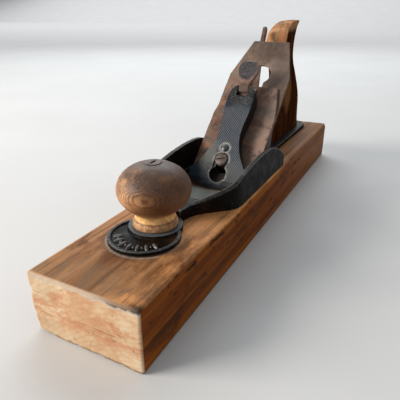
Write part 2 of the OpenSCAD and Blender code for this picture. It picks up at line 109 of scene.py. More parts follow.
# ---------------------------------------------------------------- mesh helpers
def coords(me):
    """Vertices in mm, one row each."""
    co = np.zeros(len(me.vertices) * 3)
    me.vertices.foreach_get("co", co)
    return co.reshape(-1, 3) / MM


def set_coords(me, p):
    me.vertices.foreach_set("co", (np.asarray(p) * MM).ravel().astype(np.float32))
    me.update()


def normals(me):
    me.update()
    n = np.zeros(len(me.vertices) * 3, np.float32)
    me.vertex_normals.foreach_get("vector", n)
    return n.reshape(-1, 3).astype(float)


def new_object(name, me):
    o = bpy.data.objects.new(name, me)
    bpy.context.scene.collection.objects.link(o)
    return o


def finish_piece(o, body, nodes, mat, smooth=True):
    o.data.materials.clear()
    o.data.materials.append(mat)
    if smooth:
        o.data.polygons.foreach_set("use_smooth", [True] * len(o.data.polygons))
    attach(o, body)
    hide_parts(*nodes)
    return o


def baked(o):
    """Applies the modifiers to the piece's own mesh."""
    dg = bpy.context.evaluated_depsgraph_get()
    me = bpy.data.meshes.new_from_object(o.evaluated_get(dg))
    o.modifiers.clear()
    old = o.data
    o.data = me
    bpy.data.meshes.remove(old)
    return o


def recast(name, node, voxel, smooth=3):
    """A fresh even mesh in the shape of a CAD node, its edges eased as in a casting."""
    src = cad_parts[node]
    me = src.data.copy()
    o = new_object(name, me)
    bm = bmesh.new()
    bm.from_mesh(me)
    bmesh.ops.remove_doubles(bm, verts=bm.verts, dist=1e-6)
    bm.to_mesh(me)
    bm.free()
    m = o.modifiers.new("even", "REMESH")
    m.mode = "VOXEL"
    m.voxel_size = voxel * MM
    if smooth:
        s = o.modifiers.new("ease", "SMOOTH")
        s.factor = 0.5
        s.iterations = smooth
    baked(o)
    return o


def neighbours_mean(me, v, rounds):
    """Mean of a per-vertex value over its neighbours, repeated."""
    e = np.zeros(len(me.edges) * 2, np.int64)
    me.edges.foreach_get("vertices", e)
    e = e.reshape(-1, 2)
    n = len(me.vertices)
    deg = np.bincount(e.ravel(), minlength=n).astype(float)
    v = np.array(v, float)
    for _ in range(rounds):
        acc = np.stack([np.bincount(e[:, 0], v[e[:, 1], k], n) + np.bincount(e[:, 1], v[e[:, 0], k], n)
                        for k in range(v.shape[1])], 1)
        v = acc / np.maximum(deg, 1)[:, None]
    return v


def edge_paint(o, rounds=6, gain=1.0):
    """Stores how convex the surface is at each vertex, 0.5 where it is flat, for worn edges."""
    p = coords(o.data)
    n = normals(o.data)
    k = ((p - neighbours_mean(o.data, p, rounds)) * n).sum(1)
    k = neighbours_mean(o.data, k[:, None], 1)[:, 0]
    a = o.data.attributes.new("edge", "FLOAT", "POINT")
    a.data.foreach_set("value", np.clip(0.5 + k * gain, 0, 1).astype(np.float32))


def grid_surface(name, rings, caps=True):
    """A mesh lofted through rings of equal length."""
    r = np.array(rings)
    m, k = r.shape[:2]
    faces = []
    for i in range(m - 1):
        for j in range(k):
            a, b = i * k + j, i * k + (j + 1) % k
            faces.append((a, b, b + k, a + k))
    if caps:
        faces.append(tuple(range(k - 1, -1, -1)))
        faces.append(tuple(range((m - 1) * k, m * k)))
    me = bpy.data.meshes.new(name)
    me.from_pydata((r.reshape(-1, 3) * MM).tolist(), [], faces)
    bm = bmesh.new()
    bm.from_mesh(me)
    bmesh.ops.recalc_face_normals(bm, faces=bm.faces)
    bm.to_mesh(me)
    bm.free()
    return new_object(name, me)


def lathe(name, profile, place=Matrix.Identity(4), steps=96, ripple=None):
    """A profile of (radius, height) in mm turned about Z, then placed."""
    ang = np.arange(steps) * 2 * math.pi / steps
    rings = []
    for r, z in profile:
        rr = np.full(steps, r, float) if ripple is None else ripple(r, z, ang)
        rings.append(np.stack([rr * np.cos(ang), rr * np.sin(ang), np.full(steps, z)], 1))
    closed = profile[0] == profile[-1]
    o = grid_surface(name, rings, caps=not closed)
    if closed:
        bm = bmesh.new()
        bm.from_mesh(o.data)
        bmesh.ops.remove_doubles(bm, verts=bm.verts, dist=1e-7)
        bmesh.ops.recalc_face_normals(bm, faces=bm.faces)
        bm.to_mesh(o.data)
        bm.free()
    o.data.transform(place)
    return o


def flow(o, amount, size, seed, octaves=3):
    """Moves the surface in and out by noise, in mm."""
    p = coords(o.data)
    n = normals(o.data)
    set_coords(o.data, p + n * (noise(p, size, seed, octaves) * amount)[:, None])


# ---------------------------------------------------------------- material helpers
class Shader:
    """A small writer of node trees. Object coordinates are in metres in the row frame."""

    def __init__(self, name):
        self.mat = bpy.data.materials.new(name)
        self.mat.use_nodes = True
        self.t = self.mat.node_tree
        self.b = self.t.nodes["Principled BSDF"]
        self.co = self.t.nodes.new("ShaderNodeTexCoord").outputs["Object"]

    def put(self, node, key, v):
        s = node.inputs[key]
        if hasattr(v, "is_output"):
            self.t.links.new(v, s)
        elif isinstance(v, (tuple, list)) and s.type == "RGBA":
            s.default_value = (*v, 1.0) if len(v) == 3 else v
        else:
            s.default_value = v

    def math(self, op, a, b=0.0, clamp=False):
        n = self.t.nodes.new("ShaderNodeMath")
        n.operation = op
        n.use_clamp = clamp
        self.put(n, 0, a)
        self.put(n, 1, b)
        return n.outputs[0]

    def at(self, scale=(1, 1, 1), turn=(0, 0, 0), move=(0, 0, 0), co=None):
        n = self.t.nodes.new("ShaderNodeMapping")
        n.vector_type = "POINT"
        self.put(n, "Vector", co or self.co)
        n.inputs["Scale"].default_value = scale
        n.inputs["Rotation"].default_value = turn
        n.inputs["Location"].default_value = move
        return n.outputs[0]

    def axis(self, i, co=None):
        n = self.t.nodes.new("ShaderNodeSeparateXYZ")
        self.put(n, 0, co or self.co)
        return n.outputs[i]

    def noise(self, co, scale=1.0, detail=4.0, rough=0.55, distort=0.0):
        n = self.t.nodes.new("ShaderNodeTexNoise")
        self.put(n, "Vector", co)
        for k, v in (("Scale", scale), ("Detail", detail), ("Roughness", rough), ("Distortion", distort)):
            self.put(n, k, v)
        return n.outputs["Fac"]

    def wave(self, co, scale, distort, detail, detail_scale, rings=None):
        """Straight bands across X, or saw-toothed rings about the named axis."""
        n = self.t.nodes.new("ShaderNodeTexWave")
        if rings:
            n.wave_type = "RINGS"
            n.rings_direction = rings
            n.wave_profile = "SAW"
        self.put(n, "Vector", co)
        for k, v in (("Scale", scale), ("Distortion", distort), ("Detail", detail),
                     ("Detail Scale", detail_scale)):
            self.put(n, k, v)
        return n.outputs["Fac"]

    def ramp(self, fac, stops):
        n = self.t.nodes.new("ShaderNodeValToRGB")
        e = n.color_ramp.elements
        while len(e) < len(stops):
            e.new(0.5)
        for k, (pos, col) in zip(e, stops):
            k.position = pos
            k.color = (*col, 1) if isinstance(col, (tuple, list)) else (col, col, col, 1)
        self.put(n, 0, fac)
        return n.outputs[0]

    def band(self, v, lo, hi):
        """0 below lo, 1 above hi, smooth between; lo may be above hi."""
        n = self.t.nodes.new("ShaderNodeMapRange")
        n.interpolation_type = "SMOOTHSTEP"
        flip = lo > hi
        a, b = (hi, lo) if flip else (lo, hi)
        self.put(n, "Value", v)
        n.inputs["From Min"].default_value = a
        n.inputs["From Max"].default_value = b
        n.inputs["To Min"].default_value = 1.0 if flip else 0.0
        n.inputs["To Max"].default_value = 0.0 if flip else 1.0
        return n.outputs["Result"]

    def mix(self, fac, a, b):
        n = self.t.nodes.new("ShaderNodeMix")
        n.data_type = "RGBA"
        n.clamp_factor = True
        self.put(n, 0, fac)
        self.put(n, 6, a)
        self.put(n, 7, b)
        return n.outputs[2]

    def attr(self, name):
        n = self.t.nodes.new("ShaderNodeAttribute")
        n.attribute_name = name
        return n.outputs["Fac"]

    def bump(self, height, strength, distance):
        n = self.t.nodes.new("ShaderNodeBump")
        self.put(n, "Height", height)
        self.put(n, "Strength", strength)
        self.put(n, "Distance", distance)
        return n.outputs[0]

    def bed(self):
        """Bed coordinates u, s, n in metres."""
        v = -MOUTH_Y * MM * math.sin(BED_ANGLE)
        return self.at(turn=(-BED_ANGLE, 0, 0), move=(0, v, -v))

    def facing(self, i):
        """One component of the surface normal, in the row frame."""
        g = self.t.nodes.new("ShaderNodeNewGeometry")
        return self.axis(i, g.outputs["Normal"])

    def swing(self, v, size):
        """A value of 0 to 1 turned into one that swings about zero."""
        return self.math("MULTIPLY", self.math("SUBTRACT", v, 0.5), size)

    def total(self, first, second):
        """The sum of two values, each given with its weight."""
        return self.math("ADD", self.math("MULTIPLY", *first), self.math("MULTIPLY", *second))

    def tint(self, base, mask, strength, color):
        """Lays a colour over the base where the mask is, at part strength."""
        return self.mix(self.math("MULTIPLY", mask, strength), base, color)

    def both(self, *masks):
        """The product of masks, heights or plain numbers."""
        out = masks[0]
        for m in masks[1:]:
            out = self.math("MULTIPLY", out, m)
        return out

    def blob(self, co, x, y, rx, ry, soft=0.35, wobble=0.0):
        """1 inside an ellipse on the first two coordinates, fading at its border."""
        sep = self.t.nodes.new("ShaderNodeSeparateXYZ")
        self.put(sep, 0, co)
        dx = self.math("DIVIDE", self.math("SUBTRACT", sep.outputs[0], x), rx)
        dy = self.math("DIVIDE", self.math("SUBTRACT", sep.outputs[1], y), ry)
        d = self.math("SQRT", self.total((dx, dx), (dy, dy)))
        if wobble:
            d = self.math("ADD", d, self.swing(self.noise(co, 260.0, 4, 0.6), wobble))
        return self.band(d, 1.0 + soft, 1.0 - soft)

    def disc(self, y, r, soft, wobble=0.0):
        """A blob round a point of the middle line; y and r in mm."""
        return self.blob(self.co, 0.0, y * MM, r * MM, r * MM, soft, wobble)

    def done(self, color, rough, metal=0.0, normal=None, spec=None):
        self.put(self.b, "Base Color", color)
        self.put(self.b, "Roughness", rough)
        self.put(self.b, "Metallic", metal)
        if normal is not None:
            self.put(self.b, "Normal", normal)
        if spec is not None:
            self.put(self.b, "Specular IOR Level", spec)
        return self.mat


def stock_top(s, streak, stain, blot, fine):
    """Grey-tan at the toe, red-brown streaks round the disc, orange on the right."""
    x, y = s.axis(0), s.axis(1)
    top = s.ramp(streak, [(0.32, (0.15, 0.055, 0.02)), (0.5, (0.29, 0.13, 0.052)),
                          (0.66, (0.43, 0.215, 0.095))])
    grey = s.both(s.band(y, -0.155, -0.175), s.band(stain, 0.4, 0.6))
    top = s.tint(top, grey, 0.7, (0.185, 0.115, 0.064))
    brown = s.both(s.band(y, -0.176, -0.160), s.band(y, -0.135, -0.150), s.band(stain, 0.42, 0.56))
    top = s.tint(top, brown, 0.8, (0.14, 0.042, 0.012))
    ring = s.disc(DISC_Y, DISC_R + 3, 0.12, 0.5)
    top = s.tint(top, ring, 0.75, (0.13, 0.06, 0.03))
    dust = s.both(s.disc(DISC_Y, DISC_R + 1.3, 0.03, 0.05), s.band(fine, 0.35, 0.5))
    top = s.tint(top, dust, 0.6, (0.48, 0.41, 0.33))
    warm = s.both(s.band(x, 0.002, 0.024), s.band(blot, 0.68, 0.42))
    top = s.tint(top, s.both(warm, s.band(y, 0.04, -0.02)), 0.9, (0.86, 0.38, 0.135))
    corner = s.both(s.band(x, 0.020, 0.033), s.band(y, -0.1835, -0.1885), s.band(stain, 0.36, 0.5))
    top = s.tint(top, corner, 0.9, (0.03, 0.018, 0.012))
    return top


def stock_side(s, streak, stain):
    """Dark orange-brown and oiled, duller towards the heel."""
    y = s.axis(1)
    side = s.ramp(streak, [(0.32, (0.11, 0.022, 0.001)), (0.5, (0.26, 0.062, 0.003)),
                           (0.68, (0.42, 0.125, 0.01))])
    side = s.tint(side, s.band(stain, 0.52, 0.68), 0.8, (0.05, 0.016, 0.005))
    return s.tint(side, s.band(y, 0.0, 0.15), 0.6, (0.27, 0.12, 0.05))


def stock_end(s, stain):
    """Sawn end grain with faint growth rings, dirt, scratches and dark borders."""
    x, z = s.axis(0), s.axis(2)
    e = s.noise(s.at((60, 60, 60), move=(0, 3, 0)), 1.0, 5, 0.62, 0.3)
    end = s.ramp(e, [(0.32, (0.60, 0.32, 0.165)), (0.46, (0.70, 0.46, 0.27)), (0.6, (0.78, 0.60, 0.39))])
    rings = s.wave(s.at((1, 0, 1), move=(-0.05, 0, 0.075)), 105.0, 2.5, 3, 1.5, rings="Y")
    end = s.tint(end, s.band(rings, 0.5, 0.98), 0.22, (0.45, 0.23, 0.11))
    pink = s.noise(s.at((70, 45, 150), move=(2, 1, 0)), 1.0, 5, 0.66)
    mid = s.both(s.band(z, 0.006, 0.016), s.band(z, 0.036, 0.028))
    end = s.mix(s.both(s.band(pink, 0.46, 0.6), mid, 0.75), end, (0.60, 0.25, 0.12))
    dirt = s.noise(s.at((260, 260, 260)), 1.0, 5, 0.72)
    end = s.tint(end, s.band(dirt, 0.57, 0.7), 0.55, (0.22, 0.11, 0.06))
    scratch = s.noise(s.at((35, 35, 900), turn=(0, 0.16, 0)), 1.0, 3, 0.6)
    end = s.mix(s.both(s.band(scratch, 0.62, 0.7), mid, 0.5), end, (0.20, 0.09, 0.05))
    wob = s.both(s.noise(s.at((170, 170, 60)), 1.0, 4, 0.6), 0.006)
    topstrip = s.math("ADD", z, wob)
    end = s.tint(end, s.band(topstrip, 0.0378, 0.0392), 0.8, (0.56, 0.50, 0.43))
    dark = s.both(s.band(topstrip, 0.0388, 0.0402), s.band(x, 0.004, 0.026))
    end = s.tint(end, dark, 0.9, (0.035, 0.028, 0.025))
    left = s.total((x, -1.0), (wob, 0.5))
    end = s.tint(end, s.band(left, 0.0358, 0.0374), 0.7, (0.33, 0.30, 0.27))
    base = s.math("SUBTRACT", z, s.both(wob, 0.6))
    end = s.tint(end, s.band(base, 0.0006, -0.0012), 0.8, (0.16, 0.09, 0.05))
    grime = s.both(s.band(x, 0.010, -0.030), s.band(stain, 0.3, 0.6))
    end = s.tint(end, grime, 0.42, (0.36, 0.20, 0.10))
    return end


def stock_wood():
    s = Shader("stock_wood")
    y, z = s.axis(1), s.axis(2)
    slow = s.noise(s.at((9, 2.2, 9)), 1.0, 3, 0.5)
    grain = s.noise(s.at((420, 9, 420)), 1.0, 5, 0.6, 0.4)
    streak = s.noise(s.at((130, 3.4, 130), move=(3, 0, 1)), 1.0, 5, 0.62, 0.5)
    fleck = s.noise(s.at((1500, 120, 1500)), 1.0, 2, 0.5)
    blot = s.noise(s.at((34, 15, 34), move=(1, 5, 2)), 1.0, 6, 0.68)
    stain = s.noise(s.at((60, 22, 60), move=(4, 1, 7)), 1.0, 6, 0.7, 0.6)
    fine = s.noise(s.co, 900.0, 3, 0.6)
    top = stock_top(s, streak, stain, blot, fine)
    side = stock_side(s, streak, stain)
    up = s.band(z, 0.0362, 0.0376)
    col = s.mix(up, side, top)
    col = s.tint(col, s.band(grain, 0.5, 0.7), 0.55, (0.085, 0.034, 0.012))
    col = s.tint(col, s.band(fleck, 0.6, 0.72), 0.45, (0.05, 0.02, 0.01))
    pits = s.both(s.band(s.noise(s.at((190, 60, 190), move=(9, 2, 4)), 1.0, 4, 0.65), 0.60, 0.65),
                  s.band(z, 0.008, 0.026), s.band(z, 0.0374, 0.0366))
    col = s.tint(col, pits, 0.9, (0.012, 0.006, 0.004))
    # sole: pale and worn
    sole = s.ramp(streak, [(0.3, (0.33, 0.19, 0.10)), (0.7, (0.50, 0.33, 0.19))])
    col = s.mix(s.band(z, 0.0012, 0.0004), col, sole)
    # both ends
    end = stock_end(s, stain)
    toe = s.band(y, TOE * MM + 0.0015, TOE * MM + 0.0005)
    heel = s.band(y, -TOE * MM - 0.0015, -TOE * MM - 0.0005)
    col = s.mix(s.math("MAXIMUM", toe, heel), col, end)
    # worn pale arrises and dark dents
    edge = s.attr("edge")
    worn = s.both(s.band(edge, 0.64, 0.88), s.band(s.axis(0), 0.034, 0.026))
    col = s.tint(col, worn, 0.45, (0.55, 0.33, 0.17))
    col = s.tint(col, s.band(edge, 0.42, 0.32), 0.55, (0.045, 0.02, 0.01))
    col = s.tint(col, s.band(slow, 0.45, 0.7), 0.2, (0.12, 0.055, 0.025))
    h = s.total((grain, 0.6), (fine, 0.4))
    n = s.bump(h, 0.4, 0.0005)
    rough = s.ramp(blot, [(0.3, 0.48), (0.7, 0.68)])
    return s.done(col, rough, 0.0, n, 0.06)


def knob_wood():
    s = Shader("knob_wood")
    x, z = s.axis(0), s.axis(2)
    # growth rings about a level axis that lies in front of the knob
    co = s.at(turn=(0, 0, -0.33), move=(0, 0.1162, 0.0))
    pith = s.at(move=(0, 0.050, -0.0675), co=co)
    w = s.wave(pith, 310.0, 3.4, 4, 1.0, rings="X")
    pores = s.noise(s.at((60, 900, 900), co=co), 1.0, 3, 0.6)
    blot = s.noise(s.co, 60.0, 6, 0.68)
    fine = s.noise(s.co, 420.0, 4, 0.7)
    col = s.ramp(blot, [(0.34, (0.16, 0.065, 0.024)), (0.5, (0.36, 0.165, 0.068)),
                        (0.64, (0.60, 0.32, 0.155))])
    strength = s.math("ADD", 0.35, s.both(s.band(z, 0.058, 0.068), 0.4))
    col = s.tint(col, s.band(w, 0.3, 0.9), strength, (0.075, 0.032, 0.016))
    col = s.tint(col, s.band(pores, 0.58, 0.7), 0.65, (0.05, 0.022, 0.012))
    # painted shade: the right (+X) half of the knob darkened
    side = s.both(s.band(x, -0.002, 0.019), s.band(z, 0.05, 0.056))
    col = s.tint(col, side, 0.75, (0.085, 0.024, 0.007))
    lit = s.both(s.band(x, -0.010, -0.021), s.band(z, 0.05, 0.058))
    col = s.tint(col, lit, 0.35, (0.55, 0.34, 0.20))
    top = s.both(s.band(z, 0.0650, 0.0750), s.band(blot, 0.72, 0.45))
    col = s.tint(col, top, 0.9, (0.085, 0.052, 0.038))
    speck = s.both(s.band(z, 0.066, 0.074), s.band(fine, 0.58, 0.66))
    col = s.tint(col, speck, 0.8, (0.035, 0.02, 0.014))
    pale = s.both(s.band(z, 0.064, 0.070), s.band(s.noise(s.co, 1100.0, 2, 0.6), 0.60, 0.66))
    col = s.tint(col, pale, 0.3, (0.30, 0.22, 0.17))
    foot = s.band(z, 0.0545, 0.0505)
    tan = s.ramp(fine, [(0.35, (0.66, 0.32, 0.11)), (0.6, (0.92, 0.56, 0.23))])
    tan = s.tint(tan, s.band(blot, 0.56, 0.64), 0.6, (0.26, 0.12, 0.05))
    flange = s.ramp(fine, [(0.38, (0.16, 0.075, 0.038)), (0.55, (0.46, 0.24, 0.12))])
    tan = s.tint(tan, s.band(z, 0.0482, 0.0462), 0.8, flange)
    col = s.mix(foot, col, tan)
    # painted shade in the recess for the bolt at the top of the knob
    recess_shade = s.both(s.disc(KNOB_Y, 6.8, 0.25), s.band(z, 0.074, 0.076))
    col = s.tint(col, recess_shade, 0.85, (0.06, 0.036, 0.026))
    groove = s.both(s.band(z, 0.0461, 0.0465), s.band(z, 0.0474, 0.047))
    col = s.tint(col, groove, 0.45, (0.05, 0.025, 0.012))
    low = s.both(s.band(z, 0.0434, 0.0426), s.band(fine, 0.4, 0.55))
    col = s.tint(col, low, 0.7, (0.10, 0.055, 0.03))
    h = s.math("ADD", s.both(pores, 0.5), s.total((fine, 0.4), (w, -0.3)))
    return s.done(col, s.ramp(blot, [(0.3, 0.36), (0.7, 0.58)]), 0.0, s.bump(h, 0.4, 0.0004), 0.2)


def tote_wood():
    s = Shader("tote_wood")
    y, z = s.axis(1), s.axis(2)
    grain = s.noise(s.at((240, 42, 42)), 1.0, 5, 0.6, 0.5)
    streak = s.noise(s.at((70, 70, 9), turn=(0.25, 0, 0), move=(2, 0, 0)), 1.0, 5, 0.65, 0.4)
    blot = s.noise(s.co, 42.0, 6, 0.66)
    fleck = s.noise(s.at((900, 150, 150)), 1.0, 2, 0.6)
    # painted shade: every face but the front and the horn top takes this dark copy of the wood
    side = s.ramp(streak, [(0.34, (0.018, 0.004, 0.001)), (0.5, (0.055, 0.017, 0.005)),
                           (0.66, (0.12, 0.042, 0.013))])
    side = s.tint(side, s.band(blot, 0.5, 0.66), 0.7, (0.04, 0.016, 0.007))
    # painted light: a lighter patch low on the sides near the front of the grip, where light falls
    yz = s.t.nodes.new("ShaderNodeCombineXYZ")
    s.put(yz, 0, y)
    s.put(yz, 1, z)
    lit_hollow = s.blob(yz.outputs[0], 0.106, 0.083, 0.010, 0.014, 0.6, 0.9)
    side = s.tint(side, lit_hollow, 0.6, (0.28, 0.125, 0.045))
    # the lit copy of the wood, for the front and the horn top: painted light
    front = s.ramp(grain, [(0.34, (0.36, 0.16, 0.075)), (0.5, (0.50, 0.255, 0.125)),
                           (0.66, (0.63, 0.36, 0.195))])
    front = s.tint(front, s.band(blot, 0.52, 0.7), 0.35, (0.34, 0.12, 0.035))
    # painted light: faces turned forward and the horn top take the lit copy, the rest the shaded one
    ny = s.facing(1)
    lit_face = s.both(s.band(ny, -0.2, -0.5), s.band(z, 0.106, 0.116))
    top = s.band(z, 0.140, 0.146)
    col = s.mix(s.math("MAXIMUM", lit_face, s.both(top, 0.7)), side, front)
    # painted light: the rear faces of the grip get a lighter copy than the shaded sides
    back = s.both(s.band(ny, 0.4, 0.8), s.band(z, 0.06, 0.11))
    col = s.tint(col, back, 0.5, (0.26, 0.11, 0.04))
    col = s.tint(col, s.band(fleck, 0.6, 0.7), 0.5, (0.03, 0.012, 0.006))
    col = s.tint(col, s.band(s.attr("edge"), 0.66, 0.9), 0.25, (0.36, 0.16, 0.06))
    h = s.total((grain, 0.6), (fleck, 0.4))
    return s.done(col, s.ramp(blot, [(0.3, 0.40), (0.7, 0.6)]), 0.0, s.bump(h, 0.3, 0.0003), 0.0)


def japanned(name, base, worn, bright, amount, rust, spots=0.4, extra=None, rough=(0.32, 0.55), spec=0.4):
    """Black enamelled iron, worn to brown patches and bright edges."""
    s = Shader(name)
    patch = s.noise(s.co, 95.0, 6, 0.68)
    fine = s.noise(s.co, 620.0, 4, 0.7)
    big = s.noise(s.co, 28.0, 4, 0.6)
    edge = s.attr("edge")
    col = s.tint(base, s.band(patch, 0.62 - 0.2 * amount, 0.74 - 0.12 * amount), 0.85, worn)
    col = s.tint(col, s.band(fine, 0.56, 0.72), 0.4, tuple(v * 1.6 for v in worn))
    col = s.tint(col, s.band(big, 0.52, 0.68), rust, (0.06, 0.026, 0.012))
    lift = None
    if extra:
        col, lift = extra(s, col, fine)
    e = s.math("ADD", edge, s.swing(fine, 0.3))
    wear = s.band(e, 0.70, 0.96)
    col = s.tint(col, wear, 0.85, bright)
    col = s.tint(col, s.band(s.noise(s.co, 1300.0, 1, 0.5), 0.74, 0.79), spots, (0.40, 0.38, 0.35))
    h = s.total((fine, 0.6), (patch, 0.8))
    if lift is not None:
        h = s.math("ADD", h, lift)
    n = s.bump(h, 0.5, 0.0004)
    return s.done(col, s.ramp(patch, [(0.35, rough[0]), (0.65, rough[1])]), s.both(wear, 0.6), n, spec)


def casting_extra(s, col, fine):
    """Pale line where the disc meets the wood, painted blue-grey highlight on the collar, worn disc rim
    with a painted highlight, dusty plate.
    """
    y, z = s.axis(1), s.axis(2)
    up = s.band(s.facing(2), 0.6, 0.9)
    # painted highlight: the collar's upward faces tinted blue-grey, as a reflection on the black enamel
    collar = s.both(s.disc(KNOB_Y, 17.2, 0.06), s.band(z, 0.0411, 0.0414), up)
    col = s.tint(col, collar, 0.75, (0.10, 0.12, 0.13))
    # worn rim with a painted highlight: the disc rim's upward faces tinted grey-blue
    rim = s.both(up, s.band(z, 0.0402, 0.0406), s.band(y, -0.112, -0.122), s.band(fine, 0.3, 0.55))
    col = s.tint(col, rim, 0.6, (0.10, 0.11, 0.12))
    line = s.both(s.band(z, 0.0392, 0.0384), s.band(y, -0.10, -0.11))
    col = s.tint(col, line, 0.6, (0.16, 0.13, 0.10))
    top = s.both(up, s.band(z, 0.046, 0.049))
    col = s.tint(col, top, 0.5, (0.05, 0.045, 0.039))
    plate = s.both(up, s.band(y, 0.02, 0.04))
    col = s.mix(s.both(plate, s.band(fine, 0.4, 0.6), 0.5), col, (0.035, 0.028, 0.02))
    return col, None


def cap_extra(s, col, fine):
    b = s.bed()
    u, t = s.axis(0, b), s.axis(1, b)
    up = s.both(s.band(s.facing(1), -0.2, -0.5), s.band(s.facing(2), 0.2, 0.5))
    side = s.band(s.facing(0), 0.35, 0.7)
    # fine slanting grinding lines on the neck
    lines = s.wave(s.at(turn=(0, 0, -0.85), co=b), 230.0, 1.0, 2, 1.0)
    low = s.math("ADD", s.both(s.band(u, -0.006, 0.008), 0.55), s.band(t, 0.074, 0.084), clamp=True)
    neck = s.both(low, s.band(t, 0.046, 0.052), s.band(t, 0.113, 0.106), up)
    col = s.mix(s.both(neck, s.band(lines, 0.5, 0.85), 0.7), col, (0.085, 0.10, 0.125))
    col = s.mix(s.both(neck, s.math("SUBTRACT", 1.0, lines), 0.75), col, (0.010, 0.013, 0.019))
    # dark blue lobe at the lower left, grey lobe at the right
    lobe = s.both(s.blob(b, -0.017, 0.052, 0.008, 0.008, 0.6, 0.8), up)
    col = s.tint(col, lobe, 0.8, (0.018, 0.035, 0.05))
    right = s.both(s.blob(b, 0.014, 0.056, 0.009, 0.010, 0.5, 1.0), up)
    col = s.tint(col, right, 0.5, (0.075, 0.078, 0.072))
    # pale rims round the keyhole and the rivet
    for cu, cs, r in ((0.0, 0.054, 0.0080), (0.0, 0.0655, 0.0072), (0.0, 0.075, 0.0052)):
        rim = s.both(s.blob(b, cu, cs, r, r, 0.10, 0.35), up)
        col = s.mix(s.both(rim, s.band(fine, 0.36, 0.5), 0.75), col, (0.30, 0.29, 0.255))
    left_edge = s.both(s.blob(b, -0.011, 0.068, 0.006, 0.012, 0.5, 1.3), up)
    col = s.tint(col, left_edge, 0.45, (0.24, 0.225, 0.19))
    head = s.both(s.blob(b, 0.0, 0.125, 0.012, 0.012, 0.5, 1.3), up)
    mottle = s.ramp(fine, [(0.42, (0.014, 0.014, 0.016)), (0.56, (0.05, 0.042, 0.038)),
                           (0.66, (0.17, 0.14, 0.12))])
    col = s.tint(col, head, 0.9, mottle)
    edges = s.both(s.band(s.noise(b, 140.0, 5, 0.7), 0.5, 0.6), s.band(t, 0.112, 0.12))
    col = s.tint(col, edges, 0.8, (0.012, 0.012, 0.015))
    # painted shade on the low inner faces of the head, between the cap and the cam lever
    inner = s.both(s.band(s.axis(2, b), 0.0092, 0.0086), s.band(t, 0.120, 0.122))
    col = s.tint(col, inner, 0.8, (0.01, 0.007, 0.006))
    # painted shade: the +X side walls darkened nearly to black over the black enamel
    col = s.tint(col, side, 0.95, (0.006, 0.004, 0.003))
    return col, s.both(neck, lines, 1.8)


def rusty(name, a=(0.085, 0.05, 0.035), b=(0.18, 0.105, 0.075), c=(0.25, 0.165, 0.125),
          spot=(0.42, 0.17, 0.05), scale=1.0, bright=(0.33, 0.30, 0.28), metal=0.25,
          rough=(0.42, 0.62), extra=None, wear=0.6, spots=0.55):
    """Rust-brown iron: a to c are its colours from dark to light."""
    s = Shader(name)
    big = s.noise(s.co, 38.0 * scale, 5, 0.62)
    mid = s.noise(s.co, 160.0 * scale, 5, 0.68)
    fine = s.noise(s.co, 1100.0, 4, 0.65)
    f = s.total((big, 0.6), (mid, 0.4))
    col = s.ramp(f, [(0.38, a), (0.5, b), (0.6, c)])
    col = s.tint(col, s.band(fine, 0.54, 0.68), 0.5, tuple(v * 0.45 for v in a))
    col = s.tint(col, s.band(s.noise(s.co, 75.0, 5, 0.7), 0.6, 0.7), spots, spot)
    if extra:
        col = extra(s, col, mid)
    e = s.math("ADD", s.attr("edge"), s.swing(fine, 0.2))
    col = s.tint(col, s.band(e, 0.66, 0.86), wear, bright)
    n = s.bump(s.math("ADD", fine, mid), 0.4, 0.0003)
    return s.done(col, s.ramp(mid, [(0.35, rough[0]), (0.65, rough[1])]), metal, n, 0.35)


def cutter_extra(s, col, mid):
    b = s.bed()
    u, t = s.axis(0, b), s.axis(1, b)
    wob = s.swing(s.noise(b, 90.0, 4, 0.6), 0.02)
    up = s.math("ADD", t, wob)
    col = s.tint(col, s.band(up, 0.160, 0.184), 0.3, (0.045, 0.034, 0.027))
    patch = s.both(s.band(u, 0.006, 0.014), s.band(up, 0.140, 0.148), s.band(up, 0.176, 0.166))
    col = s.tint(col, patch, 0.4, (0.13, 0.105, 0.09))
    green = s.both(s.band(u, -0.016, -0.022), s.band(s.noise(b, 150.0, 4, 0.6), 0.45, 0.6))
    col = s.tint(col, green, 0.5, (0.12, 0.125, 0.10))
    warm = s.both(s.band(u, -0.008, -0.020), s.band(s.noise(b, 120.0, 5, 0.7), 0.52, 0.62))
    col = s.tint(col, warm, 0.6, (0.36, 0.13, 0.055))
    # painted shade: the cutter's +X side faces darkened
    side = s.band(s.facing(0), 0.45, 0.8)
    return s.tint(col, side, 0.8, (0.05, 0.022, 0.012))


